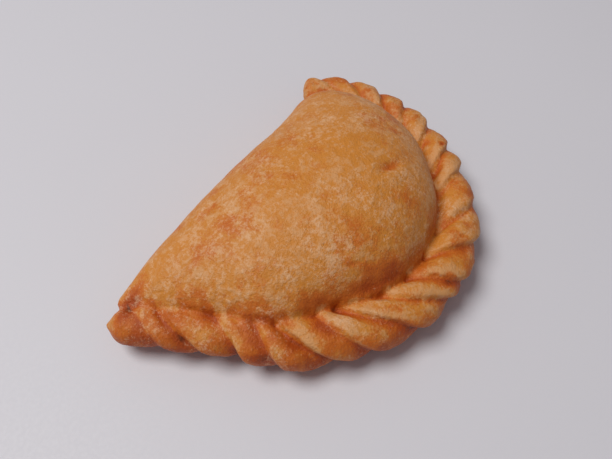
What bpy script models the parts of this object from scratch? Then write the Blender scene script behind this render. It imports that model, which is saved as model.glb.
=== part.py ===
"""Empanada: one solid of dough, a half-moon pillow with a rope of twisted folds round its curved edge.

Metres, +Z up. +X runs along the straight fold, the curved edge is toward -Y, and the flat
spot that it rests on is at z = 0, with the origin under the middle of the bounding box.
"""
import math

import bmesh
import bpy
import numpy as np

MM = 0.001

# Rope edge: places that its centre line passes, from the near corner round to the far corner,
# measured from the middle of the straight fold. Each row is x, y, z of the centre line, then the
# half width and half height of the rope (mm).
ROPE = (
    (-57.9, -3.2, 9.4, 5.6, 5.2),
    (-52.9, -12.2, 9.9, 7.3, 6.1),
    (-43.5, -32.0, 10.4, 8.1, 6.6),
    (-31.0, -56.8, 10.5, 8.2, 7.4),
    (-8.0, -74.8, 10.5, 8.2, 7.4),
    (16.5, -78.4, 10.5, 7.6, 7.0),
    (38.4, -70.5, 10.5, 7.2, 6.6),
    (55.2, -52.0, 10.5, 7.0, 6.4),
    (62.3, -30.5, 10.5, 6.8, 6.2),
    (60.5, -14.1, 10.5, 6.2, 5.8),
    (55.6, -5.0, 10.5, 5.7, 5.2),
)
MIDDLE = (3.5, -43.05)       # middle of the outline in those measures, where the origin is (mm)
# Folds of the rope, one row each: where its rear seam lies along the rope at the four turns
# below (mm), how deep that seam is (1 is usual), and how far out the fold reaches at its side.
SEAM_TURNS = (130.0, 90.0, 45.0, 0.0)    # degrees round the rope: 180 is inward, 90 up, 0 outward
FOLDS = (
    (-14.0, -12.0, -9.0, -7.0, 0.3, 0.97),
    (3.0, 6.0, 9.5, 12.0, 0.35, 0.97),
    (10.0, 13.0, 19.0, 24.0, 0.75, 1.00),
    (26.0, 29.5, 33.0, 36.0, 0.8, 1.16),
    (36.0, 40.0, 43.5, 46.5, 0.6, 1.24),
    (42.0, 46.5, 54.0, 60.0, 1.3, 1.08),
    (57.5, 61.0, 66.5, 71.5, 0.6, 1.14),
    (65.5, 72.5, 81.0, 86.5, 0.85, 1.10),
    (80.0, 86.5, 94.0, 99.5, 0.8, 1.08),
    (92.5, 98.0, 102.0, 106.5, 0.65, 1.14),
    (106.0, 110.5, 115.5, 121.5, 0.85, 1.12),
    (120.0, 125.5, 130.0, 135.0, 0.85, 0.97),
    (137.5, 141.0, 145.0, 148.5, 0.8, 1.05),
    (147.5, 151.5, 154.5, 157.5, 1.0, 1.07),
    (159.5, 162.8, 166.0, 169.0, 1.0, 1.10),
    (171.0, 175.0, 177.5, 180.0, 0.9, 1.12),
    (181.0, 184.5, 188.0, 191.0, 0.9, 1.14),
    (191.5, 195.5, 199.0, 202.0, 0.8, 1.12),
    (202.0, 206.0, 209.0, 211.5, 0.7, 1.10),
    (226.0, 226.0, 226.0, 226.0, 0.3, 1.00),
)
SEAM_DEPTH = 2.9             # depth of a usual seam below the folds (mm)
SEAM_EDGE = 2.0              # run of its steep side, up the rear edge of the next fold (mm)
SEAM_SLOPE = 0.56            # run of its gentle side, as a fraction of the fold before it
SEAM_OVERHANG = 0.9          # how far that rear edge leans back over the seam (mm)
NEAR_TIP, FAR_TIP = 4.0, 2.6     # how far the rope runs past the ends of its line (mm)

# Pillow: the filled part between the straight fold and the rope.
PILLOW_MIDDLE = 10.5         # height of the pillow's widest level (mm)
CROWN = 25.5                 # rise of its top above that level (mm)
BELLY = 11.6                 # drop of its underside below that level (mm)
PILLOW_FULLNESS = 0.85       # 1 makes its sections ellipses, less makes them fuller
TAPER = 0.8                  # how its height follows the length of its sections
ROPE_LAP = 0.55              # how far inside the rope's centre line it ends, in rope half widths
NEAR_CORNER = (-54.0, 1.5)   # ends of the straight fold, in the rope's measures (mm)
FAR_CORNER = (51.5, -7.0)
FOLD_BOW = 0.3               # how far the straight fold bows outward (mm)
FOLD_SKEW = 0.5              # how far it swings out near one end and in near the other (mm)
FLAP = 3.4                   # half thickness of the flap that joins the pillow to the rope (mm)
FLAP_FULLNESS = 0.3
# How far the pillow's foot stops short of the rope, by fraction of the rope's length (mm).
INSET = ((0.0, -0.6), (0.05, -2.3), (0.13, -2.7), (0.18, -5.0), (0.205, -4.8), (0.25, -2.6), (0.29, 0.4),
         (0.38, -0.6), (0.5, 1.8), (0.6, 2.8), (0.9, 3.2), (1.0, 0.0))
FOOT_POWER = 4               # how closely that stays near the foot

VOXEL = 0.95                 # grid of the union of the dough shapes (mm)
SMOOTHING = 2                # passes of smoothing after the union
KEEP = 0.125                 # share of the union's faces that is kept
CUTTER_SIDE, CUTTER_DEPTH = 300.0, 40.0     # box that cuts the flat spot (mm)


def along(rows, fraction):
    """Value at a fraction of the rope's length, read between the rows of a small table."""
    return np.interp(fraction, [row[0] for row in rows], [row[1] for row in rows])


def ramp(value, low, high):
    """0 below low, 1 above high, smooth between."""
    t = np.clip((value - low) / (high - low), 0, 1)
    return t * t * (3 - 2 * t)


def smooth_line(rows, per_span=60):
    """Rows joined by a Catmull-Rom spline."""
    rows = np.array(rows, float)
    ends = np.vstack([2 * rows[0] - rows[1], rows, 2 * rows[-1] - rows[-2]])
    points = []
    for i in range(len(rows) - 1):
        p0, p1, p2, p3 = ends[i:i + 4]
        f = np.linspace(0, 1, per_span, endpoint=False)[:, None]
        points.append(0.5 * (2 * p1 + (p2 - p0) * f + (2 * p0 - 5 * p1 + 4 * p2 - p3) * f ** 2
                             + (3 * p1 - p0 - 3 * p2 + p3) * f ** 3))
    points.append(rows[-1:])
    return np.vstack(points)


class RopeLine:
    """The rope's centre line, read by arc length."""

    def __init__(self):
        self.line = smooth_line(ROPE)
        self.line[:, :2] -= MIDDLE
        steps = np.linalg.norm(np.diff(self.line[:, :3], axis=0), axis=1)
        self.arc = np.concatenate([[0.0], np.cumsum(steps)])
        self.length = self.arc[-1]

    def read(self, s, column):
        return np.interp(s, self.arc, self.line[:, column])

    def frame(self, s):
        """Centre, outward and upward directions, half width and half height at arc lengths s."""
        span = 1.5
        low = np.clip(s - span, 0, self.length - 2 * span)
        high = low + 2 * span
        start = np.stack([self.read(low, k) for k in range(3)], 1)
        end = np.stack([self.read(high, k) for k in range(3)], 1)
        tangent = end - start
        tangent /= np.linalg.norm(tangent, axis=1)[:, None]
        beyond = np.minimum(s, 0) + np.maximum(s - self.length, 0)
        centre = np.stack([self.read(s, k) for k in range(3)], 1) + tangent * beyond[:, None]
        outward = np.cross(tangent, (0.0, 0.0, 1.0))
        outward /= np.linalg.norm(outward, axis=1)[:, None]
        upward = np.cross(outward, tangent)
        return centre, outward, upward, self.read(s, 3), self.read(s, 4)


def loft(mesh, rings):
    """Add a closed tube through equal rings of points, with its two ends capped."""
    count = rings.shape[1]
    rows = [[mesh.verts.new(point * MM) for point in ring] for ring in rings]
    for ring, following in zip(rows, rows[1:]):
        for j in range(count):
            k = (j + 1) % count
            mesh.faces.new((ring[j], ring[k], following[k], following[j]))
    mesh.faces.new(rows[0][::-1])
    mesh.faces.new(rows[-1])


def fold_shape(s, turn):
    """Height, reach and lean of the folds at places along and round the rope."""
    table = np.array(FOLDS)
    inner, top, side, low = (table[:, k].reshape((-1,) + (1,) * np.ndim(s)) for k in range(4))
    seams = np.where(turn > 90, top + (inner - top) * (turn - 90) / 40,
                     np.where(turn > 45, side + (top - side) * (turn - 45) / 45,
                              low + (side - low) * turn / 45))
    index = np.clip((s >= seams).sum(0) - 1, 0, len(table) - 2)
    rear_seam = np.take_along_axis(seams, index[None], 0)[0]
    front_seam = np.take_along_axis(seams, index[None] + 1, 0)[0]
    rear, front = s - rear_seam, front_seam - s
    edge = 1 - ramp(rear, 0, SEAM_EDGE)
    slope = (1 - np.clip(front / (SEAM_SLOPE * (front_seam - rear_seam)), 0, 1)) ** 1.7
    amount = np.interp(turn, (-95, -50, 0, 45, 90, 130, 175, 200),
                       (0.25, 0.8, 1.1, 1.0, 0.8, 0.85, 0.4, 0.2))
    height = -SEAM_DEPTH * amount * (table[index, 4] * edge + table[index + 1, 4] * slope)
    before = table[np.maximum(index - 1, 0), 5]
    reach = before + (table[index, 5] - before) * ramp(rear, -0.2, SEAM_EDGE)
    reach = 1 + (reach - 1) * ramp(turn, 75, 15) * ramp(turn, -95, -40)
    lean = -SEAM_OVERHANG * amount * edge * ramp(rear, -0.5, 0.8)
    return height, reach, lean, index, rear, front


def rope_rings(rope, step=0.8, sides=60):
    """The rope edge, a tube whose surface rises and falls with its folds."""
    s = np.arange(-NEAR_TIP, rope.length + FAR_TIP, step)
    turn = np.linspace(-95, 265, sides, endpoint=False)
    places, turns = np.meshgrid(s, turn, indexing='ij')
    height, reach, lean, *_ = fold_shape(places, np.where(turns > 200, 200 - (turns - 200) * 4.5, turns))
    under = ramp(turns, 215, 200)
    height, lean = height * under, lean * under
    # It narrows to a blunt point at the near end and is rounded off at the far end.
    point = 1 - (1 - np.clip((s + NEAR_TIP) / 5.5, 0, 1)) ** 2.2
    stub = np.sqrt(1 - (1 - np.clip((rope.length + FAR_TIP - s) / 3.0, 0, 1)) ** 2)
    size = np.clip(point * stub, 0.2, 1)
    flat = np.repeat(s, sides) + (lean * size[:, None]).ravel()
    centre, outward, upward, width, tall = rope.frame(flat)
    angle = np.radians(turns).ravel()
    swell = (np.repeat(size, sides) * (reach + height / 7.0).ravel())[:, None]
    points = centre + swell * (outward * (width * np.cos(angle))[:, None]
                               + upward * (tall * np.sin(angle))[:, None])
    return points.reshape(len(s), sides, 3)


def pillow_rings(rope, inset, rise, drop, fullness, sections=70, sides=52):
    """Lens-shaped sections of a filled half moon, each from the straight fold across to the rope."""
    t = np.linspace(0.004, 0.996, sections)
    centre, outward, _, width, _ = rope.frame(t * rope.length)
    edge = (centre - outward * (ROPE_LAP * width)[:, None])[:, :2]
    shift = outward[:, :2] * along(inset, t)[:, None]
    near_corner = np.subtract(NEAR_CORNER, MIDDLE)
    chord = np.subtract(FAR_CORNER, NEAR_CORNER)
    back = np.array((-chord[1], chord[0])) / np.linalg.norm(chord)
    bow = FOLD_BOW * np.sin(math.pi * t) + FOLD_SKEW * np.sin(2 * math.pi * t)
    fold = near_corner + chord * t[:, None] + back * bow[:, None]
    span = np.linalg.norm(edge - fold, axis=1)
    swell = (span / span.max()) ** TAPER
    angle = np.linspace(0, 2 * math.pi, sides, endpoint=False)
    across = 0.5 - 0.5 * np.cos(angle)
    height = np.abs(np.sin(angle)) ** fullness * np.where(angle < math.pi, rise, -drop)
    flat = fold[:, None] + (edge - fold)[:, None] * across[:, None]
    flat -= shift[:, None] * across[:, None] ** FOOT_POWER
    level = PILLOW_MIDDLE + swell[:, None] * height
    return np.concatenate([flat, level[..., None]], 2)


def material(name, color, roughness):
    """Principled material of one colour."""
    finish = bpy.data.materials.new(name)
    finish.use_nodes = True
    shader = finish.node_tree.nodes["Principled BSDF"]
    shader.inputs["Base Color"].default_value = (*color, 1.0)
    shader.inputs["Roughness"].default_value = roughness
    shader.inputs["Metallic"].default_value = 0.0
    return finish


def new_collection(name):
    """An empty collection in the scene."""
    collection = bpy.data.collections.new(name)
    bpy.context.scene.collection.children.link(collection)
    return collection


def base_cutter(collection):
    """Box under z = 0 that cuts the flat spot."""
    bpy.ops.mesh.primitive_cube_add(size=1.0, location=(0, 0, -CUTTER_DEPTH / 2 * MM))
    cutter = bpy.context.active_object
    cutter.name = "base_cutter"
    cutter.scale = (CUTTER_SIDE * MM, CUTTER_SIDE * MM, CUTTER_DEPTH * MM)
    cutter.hide_render = True
    cutter.display_type = 'WIRE'
    for owner in list(cutter.users_collection):
        owner.objects.unlink(cutter)
    collection.objects.link(cutter)
    return cutter


def dough_mesh(rope):
    """All the dough shapes in one mesh, overlapping, to be united by the Remesh modifier."""
    mesh = bmesh.new()
    loft(mesh, pillow_rings(rope, INSET, CROWN, BELLY, PILLOW_FULLNESS))
    loft(mesh, pillow_rings(rope, ((0, 0), (1, 0)), FLAP, FLAP, FLAP_FULLNESS))
    loft(mesh, rope_rings(rope))
    bmesh.ops.recalc_face_normals(mesh, faces=mesh.faces)
    data = bpy.data.meshes.new("empanada")
    mesh.to_mesh(data)
    mesh.free()
    return data


def build():
    for old in list(bpy.data.objects):
        bpy.data.objects.remove(old, do_unlink=True)
    parts = new_collection("empanada_parts")
    cutters = new_collection("cutters")
    rope = RopeLine()
    empanada = bpy.data.objects.new("empanada", dough_mesh(rope))
    parts.objects.link(empanada)
    empanada.data.materials.append(material("fried_dough", (0.60, 0.30, 0.10), 0.55))

    union = empanada.modifiers.new("union", 'REMESH')
    union.mode = 'VOXEL'
    union.voxel_size = VOXEL * MM
    union.use_smooth_shade = True
    soften = empanada.modifiers.new("soften", 'SMOOTH')
    soften.factor = 0.5
    soften.iterations = SMOOTHING
    thin = empanada.modifiers.new("thin", 'DECIMATE')
    thin.ratio = KEEP
    cut = empanada.modifiers.new("flat_spot", 'BOOLEAN')
    cut.operation = 'DIFFERENCE'
    cut.object = base_cutter(cutters)


build()
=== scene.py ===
"""Looks of the empanada: a finer skin of the same shape, and a procedural fried dough material.

The shape is worked out in millimetres, in the part's own frame: +X along the straight fold, the
rope edge toward -Y, +Z up, and z = 0 at the flat spot that it rests on.
"""
import math

import bmesh
import bpy
import numpy as np
from mathutils import Matrix, Vector


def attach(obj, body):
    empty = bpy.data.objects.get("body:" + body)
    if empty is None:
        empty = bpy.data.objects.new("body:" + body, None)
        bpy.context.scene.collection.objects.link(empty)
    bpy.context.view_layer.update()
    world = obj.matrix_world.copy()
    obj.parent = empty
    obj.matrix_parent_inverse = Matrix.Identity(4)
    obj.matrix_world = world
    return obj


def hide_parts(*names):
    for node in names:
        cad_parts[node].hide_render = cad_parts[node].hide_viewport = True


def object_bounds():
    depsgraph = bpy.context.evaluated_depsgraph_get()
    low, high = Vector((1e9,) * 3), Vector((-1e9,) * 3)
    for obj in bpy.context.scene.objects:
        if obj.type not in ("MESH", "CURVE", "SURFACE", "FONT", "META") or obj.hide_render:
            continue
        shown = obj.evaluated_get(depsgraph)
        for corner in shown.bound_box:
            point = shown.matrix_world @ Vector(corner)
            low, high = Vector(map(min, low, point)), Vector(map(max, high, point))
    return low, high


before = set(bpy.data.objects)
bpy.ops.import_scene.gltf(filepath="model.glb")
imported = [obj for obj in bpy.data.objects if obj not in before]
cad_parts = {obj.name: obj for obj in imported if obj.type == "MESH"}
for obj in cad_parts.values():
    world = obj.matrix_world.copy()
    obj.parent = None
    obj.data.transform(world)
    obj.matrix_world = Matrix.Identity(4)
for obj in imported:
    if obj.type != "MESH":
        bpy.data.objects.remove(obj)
cad_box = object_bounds()

MM = 0.001

# ---------------------------------------------------------------- shape: the same plan as the part

# Rope edge: x, y, z of its centre line, measured from the middle of the straight fold, then its
# half width and half height (mm).
ROPE = (
    (-57.9, -3.2, 9.4, 5.6, 5.2),
    (-52.9, -12.2, 9.9, 7.3, 6.1),
    (-43.5, -32.0, 10.4, 8.1, 6.6),
    (-31.0, -56.8, 10.5, 8.2, 7.4),
    (-8.0, -74.8, 10.5, 8.2, 7.4),
    (16.5, -78.4, 10.5, 7.6, 7.0),
    (38.4, -70.5, 10.5, 7.2, 6.6),
    (55.2, -52.0, 10.5, 7.0, 6.4),
    (62.3, -30.5, 10.5, 6.8, 6.2),
    (60.5, -14.1, 10.5, 6.2, 5.8),
    (55.6, -5.0, 10.5, 5.7, 5.2),
)
MIDDLE = (3.5, -43.05)       # middle of the outline in those measures, where the origin is (mm)
# Folds of the rope, one row each: where its rear seam lies along the rope at the four turns
# below (mm), how deep that seam is (1 is usual), and how far out the fold reaches at its side.
SEAM_TURNS = (130.0, 90.0, 45.0, 0.0)    # degrees round the rope: 180 is inward, 90 up, 0 outward
FOLDS = (
    (-14.0, -12.0, -9.0, -7.0, 0.3, 0.97),
    (3.0, 6.0, 9.5, 12.0, 0.35, 0.97),
    (10.0, 13.0, 19.0, 24.0, 0.75, 1.00),
    (26.0, 29.5, 33.0, 36.0, 0.8, 1.16),
    (36.0, 40.0, 43.5, 46.5, 0.6, 1.24),
    (42.0, 46.5, 54.0, 60.0, 1.3, 1.08),
    (57.5, 61.0, 66.5, 71.5, 0.6, 1.14),
    (65.5, 72.5, 81.0, 86.5, 0.85, 1.10),
    (80.0, 86.5, 94.0, 99.5, 0.8, 1.08),
    (92.5, 98.0, 102.0, 106.5, 0.65, 1.14),
    (106.0, 110.5, 115.5, 121.5, 0.85, 1.12),
    (120.0, 125.5, 130.0, 135.0, 0.85, 0.97),
    (137.5, 141.0, 145.0, 148.5, 0.8, 1.05),
    (147.5, 151.5, 154.5, 157.5, 1.0, 1.07),
    (159.5, 162.8, 166.0, 169.0, 1.0, 1.10),
    (171.0, 175.0, 177.5, 180.0, 0.9, 1.12),
    (181.0, 184.5, 188.0, 191.0, 0.9, 1.14),
    (191.5, 195.5, 199.0, 202.0, 0.8, 1.12),
    (202.0, 206.0, 209.0, 211.5, 0.7, 1.10),
    (226.0, 226.0, 226.0, 226.0, 0.3, 1.00),
)
SEAM_DEPTH = 2.9             # depth of a usual seam below the folds (mm)
SEAM_EDGE = 2.0              # run of its steep side, up the rear edge of the next fold (mm)
SEAM_SLOPE = 0.56            # run of its gentle side, as a fraction of the fold before it
SEAM_CURVE = 1.7             # how hollow the gentle side is, 1 being straight
SEAM_OVERHANG = 0.9          # how far that rear edge leans back over the seam (mm)
# How strongly the folds show, by degrees round the rope.
FOLD_AMOUNT = ((-95, 0.25), (-50, 0.8), (0, 1.1), (45, 1.0), (90, 0.8), (130, 0.85), (175, 0.4), (200, 0.2))
FOLD_TURNS = (-95.0, 200.0)      # degrees round the rope between which the folds are shaped
UNDER_RATE = 4.5                 # how fast their shape runs backward over the rest of the way round
NEAR_TIP, FAR_TIP = 4.0, 2.6     # how far the rope runs past the ends of its line (mm)
TIP_RUN, TIP_POWER = 5.5, 2.2    # run over which the near tip reaches full size (mm), and its bluntness
STUB_RUN = 3.0                   # run over which the far end is rounded off (mm)
SMALLEST_RING = 0.2              # size of the rope's end rings, as a share of full size
ROPE_RADIUS = 7.0                # radius that the height of the folds is measured against (mm)

PILLOW_MIDDLE = 10.5         # height of the pillow's widest level (mm)
CROWN = 25.5                 # rise of its top above that level (mm)
BELLY = 11.6                 # drop of its underside below that level (mm)
PILLOW_FULLNESS = 0.85       # 1 makes its sections ellipses, less makes them fuller
TAPER = 0.8                  # how its height follows the length of its sections
ROPE_LAP = 0.55              # how far inside the rope's centre line it ends, in rope half widths
NEAR_CORNER = (-54.0, 1.5)   # ends of the straight fold, in the rope's measures (mm)
FAR_CORNER = (51.5, -7.0)
FOLD_BOW = 0.3               # how far the straight fold bows outward (mm)
FOLD_SKEW = 0.5              # how far it swings out near one end and in near the other (mm)
FLAP = 3.4                   # half thickness of the flap that joins the pillow to the rope (mm)
FLAP_FULLNESS = 0.3          # as PILLOW_FULLNESS, for the flap
END_GAP = 0.004              # share of the rope's length left beyond the first and last section
# How far the pillow's foot stops short of the rope, by fraction of the rope's length (mm).
INSET = ((0.0, -0.6), (0.05, -2.3), (0.13, -2.7), (0.18, -5.0), (0.205, -4.8), (0.25, -2.6),
         (0.29, 0.4), (0.38, -0.6), (0.5, 1.8), (0.6, 2.8), (0.9, 3.2), (1.0, 0.0))
NO_INSET = ((0, 0), (1, 0))
FOOT_POWER = 4               # how closely that stays near the foot

SKIN_VOXEL = 0.6             # grid of the union of the dough shapes (mm)
SKIN_SMOOTHING = 3           # passes of smoothing after the union


def along(rows, place):
    """Value at a place, read between the rows of a small table of places and values."""
    return np.interp(place, [row[0] for row in rows], [row[1] for row in rows])


def ramp(value, low, high):
    """0 below low, 1 above high, smooth between."""
    t = np.clip((value - low) / (high - low), 0, 1)
    return t * t * (3 - 2 * t)


def smooth_line(rows, per_span=60):
    """Rows joined by a Catmull-Rom spline."""
    rows = np.array(rows, float)
    ends = np.vstack([2 * rows[0] - rows[1], rows, 2 * rows[-1] - rows[-2]])
    points = []
    for i in range(len(rows) - 1):
        p0, p1, p2, p3 = ends[i:i + 4]
        f = np.linspace(0, 1, per_span, endpoint=False)[:, None]
        points.append(0.5 * (2 * p1 + (p2 - p0) * f + (2 * p0 - 5 * p1 + 4 * p2 - p3) * f ** 2
                             + (3 * p1 - p0 - 3 * p2 + p3) * f ** 3))
    points.append(rows[-1:])
    return np.vstack(points)


class RopeLine:
    """The rope's centre line, read by arc length."""

    def __init__(self):
        self.line = smooth_line(ROPE)
        self.line[:, :2] -= MIDDLE
        steps = np.linalg.norm(np.diff(self.line[:, :3], axis=0), axis=1)
        self.arc = np.concatenate([[0.0], np.cumsum(steps)])
        self.length = self.arc[-1]

    def read(self, s, column):
        """One column of the line's table at arc lengths s."""
        return np.interp(s, self.arc, self.line[:, column])

    def frame(self, s):
        """Centre, outward and upward directions, half width and half height at arc lengths s."""
        span = 1.5      # half the stretch that a direction is measured over (mm)
        low = np.clip(s - span, 0, self.length - 2 * span)
        high = low + 2 * span
        start = np.stack([self.read(low, k) for k in range(3)], 1)
        end = np.stack([self.read(high, k) for k in range(3)], 1)
        tangent = end - start
        tangent /= np.linalg.norm(tangent, axis=1)[:, None]
        beyond = np.minimum(s, 0) + np.maximum(s - self.length, 0)
        centre = np.stack([self.read(s, k) for k in range(3)], 1) + tangent * beyond[:, None]
        outward = np.cross(tangent, (0.0, 0.0, 1.0))
        outward /= np.linalg.norm(outward, axis=1)[:, None]
        upward = np.cross(outward, tangent)
        return centre, outward, upward, self.read(s, 3), self.read(s, 4)


def loft(mesh, rings):
    """Add a closed tube through equal rings of points, with its two ends capped."""
    count = rings.shape[1]
    rows = [[mesh.verts.new(point * MM) for point in ring] for ring in rings]
    for ring, following in zip(rows, rows[1:]):
        for j in range(count):
            k = (j + 1) % count
            mesh.faces.new((ring[j], ring[k], following[k], following[j]))
    mesh.faces.new(rows[0][::-1])
    mesh.faces.new(rows[-1])


def fold_shape(s, turn):
    """Height, reach and lean of the folds at places along and round the rope."""
    table = np.array(FOLDS)
    inner, top, side, low = (table[:, k].reshape((-1,) + (1,) * np.ndim(s)) for k in range(4))
    at_inner, at_top, at_side, at_low = SEAM_TURNS
    seams = np.where(turn > at_top, top + (inner - top) * (turn - at_top) / (at_inner - at_top),
                     np.where(turn > at_side, side + (top - side) * (turn - at_side) / (at_top - at_side),
                              low + (side - low) * (turn - at_low) / (at_side - at_low)))
    index = np.clip((s >= seams).sum(0) - 1, 0, len(table) - 2)
    rear_seam = np.take_along_axis(seams, index[None], 0)[0]
    front_seam = np.take_along_axis(seams, index[None] + 1, 0)[0]
    rear, front = s - rear_seam, front_seam - s
    edge = 1 - ramp(rear, 0, SEAM_EDGE)
    slope = (1 - np.clip(front / (SEAM_SLOPE * (front_seam - rear_seam)), 0, 1)) ** SEAM_CURVE
    amount = along(FOLD_AMOUNT, turn)
    height = -SEAM_DEPTH * amount * (table[index, 4] * edge + table[index + 1, 4] * slope)
    before = table[np.maximum(index - 1, 0), 5]
    reach = before + (table[index, 5] - before) * ramp(rear, -0.2, SEAM_EDGE)
    # Folds reach outward at the rope's side, and not on its top or underneath.
    reach = 1 + (reach - 1) * ramp(turn, 75, 15) * ramp(turn, FOLD_TURNS[0], -40)
    lean = -SEAM_OVERHANG * amount * edge * ramp(rear, -0.5, 0.8)
    return height, reach, lean, index, rear, front


def rope_rings(rope, step=0.45, sides=110):
    """The rope edge, a tube whose surface rises and falls with its folds."""
    s = np.arange(-NEAR_TIP, rope.length + FAR_TIP, step)
    first, last = FOLD_TURNS
    turn = np.linspace(first, first + 360, sides, endpoint=False)
    places, turns = np.meshgrid(s, turn, indexing='ij')
    shaped = np.where(turns > last, last - (turns - last) * UNDER_RATE, turns)
    height, reach, lean, *_ = fold_shape(places, shaped)
    under = ramp(turns, last + 15, last)
    height, lean = height * under, lean * under
    # It narrows to a blunt point at the near end and is rounded off at the far end.
    point = 1 - (1 - np.clip((s + NEAR_TIP) / TIP_RUN, 0, 1)) ** TIP_POWER
    stub = np.sqrt(1 - (1 - np.clip((rope.length + FAR_TIP - s) / STUB_RUN, 0, 1)) ** 2)
    size = np.clip(point * stub, SMALLEST_RING, 1)
    flat = np.repeat(s, sides) + (lean * size[:, None]).ravel()
    centre, outward, upward, width, tall = rope.frame(flat)
    angle = np.radians(turns).ravel()
    swell = (np.repeat(size, sides) * (reach + height / ROPE_RADIUS).ravel())[:, None]
    points = centre + swell * (outward * (width * np.cos(angle))[:, None]
                               + upward * (tall * np.sin(angle))[:, None])
    return points.reshape(len(s), sides, 3)


def pillow_rings(rope, inset, rise, drop, fullness, sections=140, sides=96):
    """Lens-shaped sections of a filled half moon, each from the straight fold across to the rope."""
    t = np.linspace(END_GAP, 1 - END_GAP, sections)
    centre, outward, _, width, _ = rope.frame(t * rope.length)
    edge = (centre - outward * (ROPE_LAP * width)[:, None])[:, :2]
    shift = outward[:, :2] * along(inset, t)[:, None]
    near_corner = np.subtract(NEAR_CORNER, MIDDLE)
    chord = np.subtract(FAR_CORNER, NEAR_CORNER)
    back = np.array((-chord[1], chord[0])) / np.linalg.norm(chord)
    bow = FOLD_BOW * np.sin(math.pi * t) + FOLD_SKEW * np.sin(2 * math.pi * t)
    fold = near_corner + chord * t[:, None] + back * bow[:, None]
    span = np.linalg.norm(edge - fold, axis=1)
    swell = (span / span.max()) ** TAPER
    angle = np.linspace(0, 2 * math.pi, sides, endpoint=False)
    across = 0.5 - 0.5 * np.cos(angle)
    height = np.abs(np.sin(angle)) ** fullness * np.where(angle < math.pi, rise, -drop)
    flat = fold[:, None] + (edge - fold)[:, None] * across[:, None]
    flat -= shift[:, None] * across[:, None] ** FOOT_POWER
    level = PILLOW_MIDDLE + swell[:, None] * height
    return np.concatenate([flat, level[..., None]], 2)


def raw_skin(rope):
    """The dough shapes united in one closed skin, as an object with its modifiers applied."""
    mesh = bmesh.new()
    loft(mesh, pillow_rings(rope, INSET, CROWN, BELLY, PILLOW_FULLNESS))
    loft(mesh, pillow_rings(rope, NO_INSET, FLAP, FLAP, FLAP_FULLNESS))
    loft(mesh, rope_rings(rope))
    bmesh.ops.recalc_face_normals(mesh, faces=mesh.faces)
    data = bpy.data.meshes.new("dough_shapes")
    mesh.to_mesh(data)
    mesh.free()
    source = bpy.data.objects.new("dough_shapes", data)
    bpy.context.scene.collection.objects.link(source)
    union = source.modifiers.new("union", 'REMESH')
    union.mode = 'VOXEL'
    union.voxel_size = SKIN_VOXEL * MM
    soften = source.modifiers.new("soften", 'SMOOTH')
    soften.factor = 0.5
    soften.iterations = SKIN_SMOOTHING
    evaluated = source.evaluated_get(bpy.context.evaluated_depsgraph_get())
    skin = bpy.data.meshes.new_from_object(evaluated)
    bpy.data.objects.remove(source)
    piece = bpy.data.objects.new("empanada_crust", skin)
    bpy.context.scene.collection.objects.link(piece)
    return piece


# ------------------------------------------------------------------------- surface of the skin

class Skin:
    """A mesh's points in millimetres, with what is needed to move and measure them."""

    def __init__(self, piece):
        self.mesh = piece.data
        self.points = self.read_points()
        edges = np.empty(len(self.mesh.edges) * 2, np.int32)
        self.mesh.edges.foreach_get("vertices", edges)
        self.edges = edges.reshape(-1, 2)
        self.degree = np.bincount(self.edges.ravel(), minlength=len(self.points)).astype(float)

    def read_points(self):
        """The mesh's points (mm)."""
        flat = np.empty(len(self.mesh.vertices) * 3)
        self.mesh.vertices.foreach_get("co", flat)
        return flat.reshape(-1, 3) / MM

    def write_points(self):
        """Put the points back into the mesh."""
        self.mesh.vertices.foreach_set("co", (self.points * MM).ravel())
        self.mesh.update()

    def normals(self):
        """Outward direction at each point as it lies now."""
        self.write_points()
        flat = np.empty(len(self.mesh.vertices) * 3)
        self.mesh.vertices.foreach_get("normal", flat)
        return flat.reshape(-1, 3)

    def average(self, values, rounds):
        """Values averaged over each point's neighbours, a number of times."""
        values = np.array(values, float)
        flat = values.reshape(len(values), -1)
        a, b = self.edges.T
        for _ in range(rounds):
            total = np.stack([
                np.bincount(a, flat[b, k], len(flat)) + np.bincount(b, flat[a, k], len(flat))
                for k in range(flat.shape[1])], 1)
            flat = 0.5 * flat + 0.5 * total / self.degree[:, None]
        return flat.reshape(values.shape)

    def hollow(self, normals, rounds):
        """How far each point lies below its smoothed surroundings (mm); negative on ridges."""
        return ((self.average(self.points, rounds) - self.points) * normals).sum(1)

    def attribute(self, name, values):
        """Store a value for each point under a name that the material reads."""
        layer = self.mesh.attributes.new(name, 'FLOAT', 'POINT')
        layer.data.foreach_set("value", np.asarray(values, np.float32))


def lattice(cells, seed):
    """A repeatable value between -1 and 1 for each whole-number cell, from an integer hash."""
    x, y, z = (cells[..., k].astype(np.int64) for k in range(3))
    n = (x * 374761393 + y * 668265263 + z * 2147483647 + seed * 1274126177) & 0xFFFFFFFF
    n = ((n ^ (n >> 13)) * 1274126177) & 0xFFFFFFFF
    n = ((n ^ (n >> 16)) * 2246822519) & 0xFFFFFFFF
    return ((n ^ (n >> 15)) & 0xFFFF) / 32767.5 - 1


def noise(points, size, seed):
    """Smooth noise between about -1 and 1 with lumps of about the given size (mm)."""
    q = points / size
    base = np.floor(q)
    f = q - base
    f = f * f * f * (f * (f * 6 - 15) + 10)
    total = 0
    for corner in range(8):
        step = np.array([(corner >> k) & 1 for k in range(3)])
        weight = np.prod(np.where(step, f, 1 - f), axis=-1)
        total = total + weight * lattice(base + step, seed)
    return total


ROPE_SAMPLES = 440           # places along the rope that a point's nearest one is found among
BLOCK = 8000                 # points measured at a time, to spare memory
LOWEST_TURN = -110.0         # degrees round the rope where the count of turns starts


def layers(points, rows):
    """Sum of noises, one for each row of amount, lump size (mm) and seed."""
    return sum(amount * noise(points, size, seed) for amount, size, seed in rows)


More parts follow.
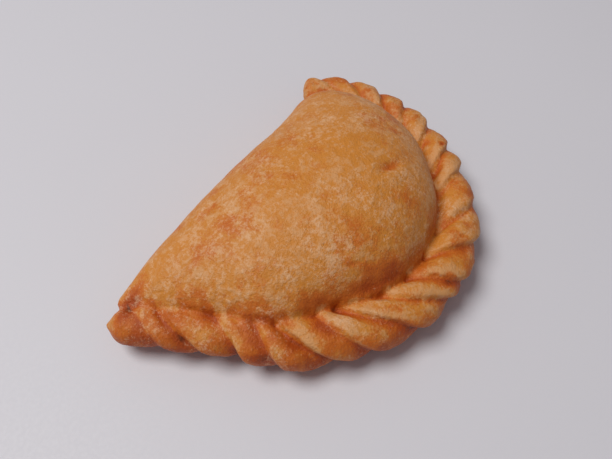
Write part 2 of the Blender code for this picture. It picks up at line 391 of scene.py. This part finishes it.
class RopePlace:
    """Where points lie in the rope: along it, round it, and how far out from its centre line."""

    def __init__(self, rope, points):
        samples = np.linspace(0, rope.length, ROPE_SAMPLES)
        centre, outward, upward, width, height = rope.frame(samples)
        nearest = np.empty(len(points), int)
        for start in range(0, len(points), BLOCK):
            block = points[start:start + BLOCK]
            gap = ((block[:, None] - centre[None]) ** 2).sum(2)
            nearest[start:start + BLOCK] = gap.argmin(1)
        offset = points - centre[nearest]
        out = (offset * outward[nearest]).sum(1) / width[nearest]
        up = (offset * upward[nearest]).sum(1) / height[nearest]
        self.s = samples[nearest]
        self.turn = np.degrees(np.arctan2(up, out))
        self.turn = np.where(self.turn < LOWEST_TURN, self.turn + 360, self.turn)
        self.reach = np.hypot(out, up)
        shape = fold_shape(self.s, np.clip(self.turn, *FOLD_TURNS))
        self.fold, self.rear, self.front = shape[3:]


# Marks on the crust: middle x, y, z, radii along and across (mm), heading of the long way in
# degrees from +X, then how far the crust sinks there (mm), how orange and how floury it is.
# Where noted below, the orange of a mark is painted shade.
MARKS = (
    (15.9, -8.7, 32.5, 4.4, 1.7, -22.0, 0.9, 0.55, 0.0),    # dent near the top, with painted shade, orange, in it
    (13.9, -11.7, 32.0, 6.0, 2.2, -22.0, -0.4, -0.2, 0.6),  # its raised pale lip
    (-53.4, 39.3, 15.5, 4.2, 2.6, 15.0, 0.5, 0.9, 0.0),     # dimple at the near end, with painted shade, orange, in it
    (5.0, -27.5, 23.0, 4.0, 6.0, 20.0, 0.2, -0.4, 1.0),     # floury patches
    (-3.6, -4.7, 34.5, 5.0, 11.0, 30.0, 0.0, -0.3, 0.7),
    (-20.4, 26.5, 31.0, 3.5, 2.2, 0.0, -0.3, -0.5, 0.8),
    (-29.6, 15.3, 30.0, 6.0, 3.5, 40.0, -0.2, -0.3, 0.6),
    (-15.6, -0.7, 33.5, 3.0, 1.8, 60.0, -0.2, -0.4, 0.7),
    (-40.6, 20.9, 25.0, 5.0, 7.0, 30.0, -0.1, -0.3, 0.6),
    (-10.1, -10.2, 32.5, 10.0, 7.5, -60.0, 0.1, 0.45, -0.4),  # golden and orange patches
    (-23.6, 18.9, 32.0, 7.5, 5.5, 0.0, 0.2, 0.16, 0.0),
    (-15.6, -21.6, 21.0, 8.0, 5.0, -40.0, 0.3, 0.5, -0.2),
    (14.4, 6.8, 34.0, 15.0, 10.0, 20.0, -0.2, -0.40, -0.3),
    (32.0, 20.0, 28.8, 9.0, 9.0, 0.0, 0.0, -0.30, 0.2),
    (-43.3, -8.2, 15.2, 3.0, 1.5, -60.0, 0.0, 0.5, -0.6),    # painted shade, orange, in a seam of the rope
    (-46.6, 20.9, 20.0, 6.0, 3.0, 80.0, 0.1, 0.5, -0.3),    # painted shade, orange, low on the near side
    (-35.0, -13.4, 16.8, 3.4, 2.0, -75.0, 0.0, 0.5, -0.3),   # orange, then pale places on the rope
    (-30.6, -17.5, 17.8, 3.8, 1.9, -83.0, 0.0, -0.9, 1.5),
    (-18.1, -26.1, 17.0, 4.6, 2.0, -60.0, 0.0, -0.7, 0.9),
    (-60.0, 30.5, 14.6, 3.6, 1.4, -70.0, 0.0, -0.6, 0.7),
    (-54.1, 37.5, 13.7, 2.4, 1.2, -60.0, 0.0, -0.3, 1.0),
    (-50.4, 31.1, 14.4, 3.0, 1.2, -70.0, 0.0, -0.2, 0.8),
    (-9.6, -30.6, 17.0, 4.6, 1.8, -50.0, 0.0, -0.5, 0.8),
    (20.9, -37.9, 16.5, 2.2, 2.2, 0.0, 0.2, 0.7, 0.0),      # small orange pits on the rope
    (49.2, -16.6, 16.0, 0.9, 0.9, 0.0, 0.3, 1.6, 0.0),
    (53.2, 31.2, 15.5, 1.8, 1.8, 0.0, 0.6, 0.8, 0.0),
    (-1.6, -40.0, 14.8, 3.8, 1.4, -60.0, -0.2, 0.75, -0.5),  # painted shade, orange, in a slot of the rope
    (-45.5, 22.0, 15.5, 10.0, 3.0, -66.0, -1.0, -0.4, 0.3),  # foot of the pillow near the rope
    (-9.9, -21.4, 25.1, 7.0, 5.0, -40.0, 0.0, 0.45, -1.0),   # painted shade, orange, on the front flank
    (-30.4, -9.9, 21.5, 7.0, 3.0, -62.0, 0.0, 0.45, -1.0),
    (6.0, -20.0, 29.0, 10.0, 7.0, 60.0, 0.0, 0.30, -0.4),
)


MARK_HEIGHT = 7.0            # how far up and down a mark reaches (mm)


def marks(points):
    """Depth, orange and flour of all the marks at the points."""
    total = np.zeros((3, len(points)))
    ragged = 1 + 0.5 * noise(points, 2.6, 11) + 0.3 * noise(points, 1.2, 12)
    for x, y, z, length, width, heading, *amounts in MARKS:
        turn = math.radians(heading)
        gap = points - (x, y, z)
        along_it = (gap[:, 0] * math.cos(turn) + gap[:, 1] * math.sin(turn)) / length
        across_it = (gap[:, 1] * math.cos(turn) - gap[:, 0] * math.sin(turn)) / width
        up_it = gap[:, 2] / MARK_HEIGHT
        weight = np.exp(-(along_it ** 2 + across_it ** 2 + up_it ** 2) * ragged)
        total += np.array(amounts)[:, None] * weight
    return total


# Unevenness of the dough, as rows of height (mm), lump size (mm) and seed.
BROAD_SWELLS = ((0.55, 21, 1), (0.30, 10, 2))
FINE_SWELLS = ((0.11, 4.2, 3), (0.07, 2.1, 4))
ROPE_SWELLS = ((0.35, 6.5, 7),)
ROPE_FINE = 0.6              # share of the fine swells that the rope has
LOW_SWELLS = 0.35            # share of the swells that the pillow's underside has
WRINKLE_PITCH = 1.9          # distance across a wrinkle (mm)
WRINKLE_TURN = 40.0          # degrees round the rope that a wrinkle runs
FOLD_SEED = 9.0              # how far apart two folds read the wrinkle noise


def shape_skin(skin, rope):
    """Add swells, wrinkles along the folds, and the depth of the marks."""
    place = RopePlace(rope, skin.points)
    on_rope = 1 - ramp(place.reach, 1.15, 1.5)
    above = ramp(skin.points[:, 2], 3.0, 9.0)
    normals = skin.normals()
    p = skin.points
    broad = layers(p, BROAD_SWELLS)
    fine = layers(p, FINE_SWELLS)
    across_fold = place.fold * FOLD_SEED + place.rear / WRINKLE_PITCH
    strand = np.stack([across_fold, place.turn / WRINKLE_TURN, place.s * 0], 1)
    wrinkles = 0.16 * noise(strand, 1.0, 5) + 0.10 * noise(strand * (2.1, 1.3, 1), 1.0, 6)
    lift = (1 - on_rope) * (broad + fine) * (LOW_SWELLS + (1 - LOW_SWELLS) * above)
    lift += on_rope * (layers(p, ROPE_SWELLS) + wrinkles + ROPE_FINE * fine)
    lift -= marks(p)[0]
    skin.points += normals * lift[:, None]
    skin.points[:, 2] = np.maximum(skin.points[:, 2], 0)
    skin.write_points()
    return place, on_rope


# Places along the rope (mm), with what changes there.
SEAM_SHADE_BAND = ((60, 7.5), (90, 4.5))           # width of the band of painted shade, orange, before a seam (mm)
SEAM_CALM = ((95, 1), (120, 0.7))            # how strongly painted shade turns the rope's seams and low side orange
FOOT_SHADE = ((25, 0.1), (45, 0.3), (60, 0.9), (150, 0.7))      # painted shade, orange, on the pillow's foot beside the rope
VALLEY_SHADE = ((45, 0.36), (65, 0.50))     # painted shade, orange, in broad hollows
ROPE_ORANGE = ((30, 0.36), (60, 0.16), (95, 0.16), (120, 0), (140, 0.12), (165, 0.12))
ROPE_HIGHLIGHT = ((0, 0.3), (45, 0.45), (58, 1.1), (95, 1.1), (120, 0.85))    # painted highlight on the folds' rear edges
ROPE_CLEAN = ((25, 0.15), (65, 0.40))        # how much less flour the rope has
BLOTCHES = ((1, 12.0, 21), (0.6, 5.0, 22))   # noise rows, as for the swells
FLOUR_PATCHES = ((0.9, 8.0, 25), (0.6, 3.5, 26))
CREASE_ROUNDS, CREASE_DEPTH = 14, 0.6        # narrow hollows: passes of averaging, usual depth (mm)
VALLEY_ROUNDS, VALLEY_DEPTH = 60, 2.0        # broad hollows


def mark_skin(skin, place, on_rope):
    """Attributes that the material reads: browning from real tone plus painted shade, paleness from real
    tone plus painted highlight, and flour.
    """
    normals = skin.normals()
    p = skin.points
    crease = skin.hollow(normals, CREASE_ROUNDS) / CREASE_DEPTH
    valley = skin.hollow(normals, VALLEY_ROUNDS) / VALLEY_DEPTH
    _, orange_and_shade_marks, floury_marks = marks(p)
    # Painted shade, orange: along the rope's low outer side, in a band before each seam, and on the
    # pillow's foot beside the rope.
    side_shade = ramp(place.turn, 70, -20)
    seam_shade = ramp(place.front / along(SEAM_SHADE_BAND, place.s), 1, 0) * ramp(place.turn, 175, 120)
    foot_shade = (1 - on_rope) * ramp(place.reach, 2.6, 1.05) * along(FOOT_SHADE, place.s)
    blotch = ramp(layers(p, BLOTCHES), -0.2, 0.8)
    calm = along(SEAM_CALM, place.s)
    # Browning: the crust's own tone from blotches, noise, marks and the rope's base tone, plus painted
    # shade in narrow and broad hollows, in some marks and from the three terms above.
    orange_and_shade = (0.35 * ramp(crease, 0.1, 0.9) + along(VALLEY_SHADE, place.s) * ramp(valley, 0.1, 0.9)
              + 0.62 * on_rope * seam_shade * calm + 0.55 * on_rope * side_shade * calm + 0.95 * foot_shade
              + orange_and_shade_marks + 0.40 * blotch + (0.25 + 0.20 * on_rope) * noise(p, 3.0, 27)
              + on_rope * along(ROPE_ORANGE, place.s))
    # Painted highlight along each fold's raised rear edge.
    rear = ramp(place.rear, 0.5, 2.0) * ramp(place.rear, 8.0, 3.0) * ramp(place.turn, 5, 60)
    rear *= along(ROPE_HIGHLIGHT, place.s)
    # Paleness: the painted highlight above, a painted highlight on ridges, and real pale tone from noise.
    pale = (1.1 * on_rope * rear + 0.5 * ramp(crease, -0.1, -0.9) + 0.8 * noise(p, 6.0, 23)
            - 0.45 * np.clip(orange_and_shade, 0, 1))
    flour = layers(p, FLOUR_PATCHES) + 1.2 * floury_marks - on_rope * along(ROPE_CLEAN, place.s)
    skin.attribute("orange_and_shade", orange_and_shade)
    skin.attribute("pale", pale)
    skin.attribute("flour", flour - 0.5 * np.clip(orange_and_shade, 0, 1))


# --------------------------------------------------------------------------------- materials

class Nodes:
    """Short calls that add nodes to a material."""

    def __init__(self, name):
        self.material = bpy.data.materials.new(name)
        self.material.use_nodes = True
        self.tree = self.material.node_tree
        self.shader = self.tree.nodes["Principled BSDF"]
        coords = self.tree.nodes.new("ShaderNodeTexCoord")
        scale = self.tree.nodes.new("ShaderNodeVectorMath")
        scale.operation = 'SCALE'
        scale.inputs["Scale"].default_value = 1 / MM
        self.tree.links.new(coords.outputs["Object"], scale.inputs[0])
        self.place = scale.outputs[0]

    def link(self, value, socket):
        """Wire a node's output to a socket, or set the socket to a number."""
        if isinstance(value, bpy.types.NodeSocket):
            self.tree.links.new(value, socket)
        elif value is not None:
            socket.default_value = value

    def noise(self, size, detail, roughness):
        """Noise with lumps of a size in millimetres."""
        node = self.tree.nodes.new("ShaderNodeTexNoise")
        self.link(self.place, node.inputs["Vector"])
        node.inputs["Scale"].default_value = 1 / size
        node.inputs["Detail"].default_value = detail
        node.inputs["Roughness"].default_value = roughness
        return node.outputs["Fac"]

    def attribute(self, name):
        """A value that mark_skin stored on the skin."""
        node = self.tree.nodes.new("ShaderNodeAttribute")
        node.attribute_name = name
        return node.outputs["Fac"]

    def math(self, operation, a, b, c=None):
        node = self.tree.nodes.new("ShaderNodeMath")
        node.operation = operation
        for value, socket in zip((a, b, c), node.inputs):
            self.link(value, socket)
        return node.outputs[0]

    def ramp(self, value, low, high, out_low=0.0, out_high=1.0):
        """Smooth step from one value to another."""
        node = self.tree.nodes.new("ShaderNodeMapRange")
        node.interpolation_type = 'SMOOTHSTEP'
        self.link(value, node.inputs["Value"])
        limits = (("From Min", low), ("From Max", high), ("To Min", out_low), ("To Max", out_high))
        for name, number in limits:
            self.link(number, node.inputs[name])
        return node.outputs["Result"]

    def mix(self, amount, a, b):
        """Blend from colour a to colour b; inputs 0, 6 and 7 are the colour mix's own."""
        node = self.tree.nodes.new("ShaderNodeMix")
        node.data_type = 'RGBA'
        colours = [(*c, 1.0) if isinstance(c, tuple) else c for c in (a, b)]
        self.link(amount, node.inputs[0])
        self.link(colours[0], node.inputs[6])
        self.link(colours[1], node.inputs[7])
        return node.outputs[2]

    def bump(self, height, distance, strength, normal=None):
        """Bump of a depth in millimetres, on top of an earlier one if given."""
        node = self.tree.nodes.new("ShaderNodeBump")
        node.inputs["Strength"].default_value = strength
        node.inputs["Distance"].default_value = distance * MM
        self.link(height, node.inputs["Height"])
        self.link(normal, node.inputs["Normal"])
        return node.outputs["Normal"]


# Colours of the crust (linear RGB). Orange and rust are its own browned tones and also painted shade in
# creases, seams and hollows; the darkest is painted shade only; the pale colour is also the painted
# highlight.
GOLDEN = (0.67, 0.250, 0.033)
PALE_AND_HIGHLIGHT = (0.72, 0.360, 0.140)
FLOUR = (0.86, 0.56, 0.34)
ORANGE = (0.60, 0.145, 0.012)
RUST = (0.44, 0.072, 0.004)
DARK_SHADE = (0.16, 0.030, 0.004)
# Patterns of the crust: lump size (mm), detail and roughness of the noise.
MOTTLE = (2.6, 4, 0.74)
GRAIN = (0.8, 2, 0.8)
SPECK = (1.5, 3, 0.86)
PATTERN_PUSH = 0.10          # how far the skin's own values push those patterns
CRUST_SPECULAR = 0.34


def dough_material():
    """Fried dough: golden, paler and floury by noise; paler where the skin's values paint highlights,
    browner where they give real browning and painted shade.
    """
    n = Nodes("fried_dough")
    orange_and_shade = n.attribute("orange_and_shade")
    mottle = n.noise(*MOTTLE)
    grain = n.noise(*GRAIN)
    speck = n.noise(*SPECK)

    # The pale mix carries real mottled tone and the painted highlights stored on the skin.
    pale = n.math('MULTIPLY_ADD', n.attribute("pale"), PATTERN_PUSH, mottle)
    pale = n.ramp(pale, 0.45, 0.66, 0, 0.85)
    colour = n.mix(pale, GOLDEN, PALE_AND_HIGHLIGHT)
    deep = n.math('ADD', orange_and_shade, n.math('MULTIPLY_ADD', grain, 1.2, -0.6))
    deep = n.math('SUBTRACT', deep, n.math('MULTIPLY', pale, 0.25))
    # Deep values run through orange and rust to near black; the deepest steps are painted shade in creases,
    # seams and hollows.
    colour = n.mix(n.ramp(deep, 0.05, 0.75), colour, ORANGE)
    colour = n.mix(n.ramp(deep, 0.65, 1.5), colour, RUST)
    colour = n.mix(n.ramp(deep, 1.5, 2.3), colour, DARK_SHADE)
    dust = n.math('MULTIPLY_ADD', n.attribute("flour"), PATTERN_PUSH, speck)
    floury = n.ramp(dust, 0.48, 0.70, 0, 0.52)
    colour = n.mix(floury, colour, FLOUR)
    n.link(colour, n.shader.inputs["Base Color"])
    n.link(n.ramp(n.math('ADD', floury, grain), 0.3, 1.3, 0.46, 0.70), n.shader.inputs["Roughness"])
    normal = n.bump(mottle, 0.55, 0.8)
    normal = n.bump(grain, 0.34, 0.8, normal)
    n.link(n.bump(dust, 0.25, 0.7, normal), n.shader.inputs["Normal"])
    n.shader.inputs["Specular IOR Level"].default_value = CRUST_SPECULAR
    return n.material


FLOOR_TONES = ((0.72, 0.72, 0.77), (0.74, 0.74, 0.79))


def floor_material():
    """Plain pale floor, very slightly uneven in tone, gloss and surface."""
    n = Nodes("pale_floor")
    n.link(n.mix(n.noise(90, 2, 0.5), *FLOOR_TONES), n.shader.inputs["Base Color"])
    n.link(n.ramp(n.noise(1.2, 2, 0.6), 0.3, 0.7, 0.50, 0.62), n.shader.inputs["Roughness"])
    n.link(n.bump(n.noise(0.8, 2, 0.6), 0.05, 0.3), n.shader.inputs["Normal"])
    return n.material


# ------------------------------------------------------------------------------------- scene

CAMERA_AT = (-113.8, -43.1, 189.0)       # mm
CAMERA_HEADING = 25.3                    # degrees from +X toward +Y
CAMERA_DOWN = 55.7                       # degrees below level
CAMERA_ROLL = 4.4                        # degrees that its right side is raised
CAMERA_FIELD = 50.0                      # degrees across
WINDOW_AT = (-0.36, 0.62, 1.45)          # m, a round soft light aimed at the origin
WINDOW_SIZE, WINDOW_ENERGY = 0.85, 17.3  # m, W
WINDOW_COLOUR = (1.0, 0.985, 0.96)
SKY_COLOUR, SKY_STRENGTH = (1.0, 0.92, 0.96, 1.0), 0.21
FLOOR_HALF = 1.2                         # half the floor's side (m)


def add_camera():
    """Camera at the reference viewing angle."""
    heading, down, roll = (math.radians(a) for a in (CAMERA_HEADING, CAMERA_DOWN, CAMERA_ROLL))
    forward = Vector((math.cos(heading) * math.cos(down),
                      math.sin(heading) * math.cos(down), -math.sin(down)))
    level = forward.cross(Vector((0, 0, 1))).normalized()
    upright = level.cross(forward)
    right = level * math.cos(roll) + upright * math.sin(roll)
    up = upright * math.cos(roll) - level * math.sin(roll)
    lens = bpy.data.cameras.new("camera")
    lens.angle = math.radians(CAMERA_FIELD)
    lens.clip_start = 0.01
    camera = bpy.data.objects.new("camera", lens)
    bpy.context.scene.collection.objects.link(camera)
    turned = Matrix((right, up, -forward)).transposed().to_4x4()
    camera.matrix_world = Matrix.Translation(Vector(CAMERA_AT) * MM) @ turned
    bpy.context.scene.camera = camera


def add_window():
    """The one lamp, a soft disk."""
    data = bpy.data.lights.new("window", 'AREA')
    data.shape = 'DISK'
    data.size = WINDOW_SIZE
    data.energy = WINDOW_ENERGY
    data.color = WINDOW_COLOUR
    lamp = bpy.data.objects.new("window", data)
    lamp.location = WINDOW_AT
    lamp.rotation_euler = Vector(WINDOW_AT).to_track_quat('Z', 'Y').to_euler()
    bpy.context.scene.collection.objects.link(lamp)


def add_floor():
    """Flat floor under the part."""
    mesh = bmesh.new()
    bmesh.ops.create_grid(mesh, x_segments=24, y_segments=24, size=FLOOR_HALF)
    data = bpy.data.meshes.new("floor")
    mesh.to_mesh(data)
    mesh.free()
    floor = bpy.data.objects.new("floor", data)
    floor.location = (0, 0, cad_box[0][2])
    bpy.context.scene.collection.objects.link(floor)
    data.materials.append(floor_material())


def add_world():
    """Even light from all round, and plain colours in the render."""
    world = bpy.data.worlds.new("studio")
    world.use_nodes = True
    sky = world.node_tree.nodes["Background"]
    sky.inputs["Color"].default_value = SKY_COLOUR
    sky.inputs["Strength"].default_value = SKY_STRENGTH
    bpy.context.scene.world = world
    bpy.context.scene.view_settings.view_transform = 'Standard'


def add_crust():
    """The whole empanada, one piece in place of the part's only node."""
    rope = RopeLine()
    crust = raw_skin(rope)
    skin = Skin(crust)
    place, on_rope = shape_skin(skin, rope)
    mark_skin(skin, place, on_rope)
    crust.data.shade_smooth()
    crust.data.materials.clear()
    crust.data.materials.append(dough_material())
    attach(crust, "root")
    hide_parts("empanada")


add_crust()
add_floor()
add_world()
add_window()
add_camera()
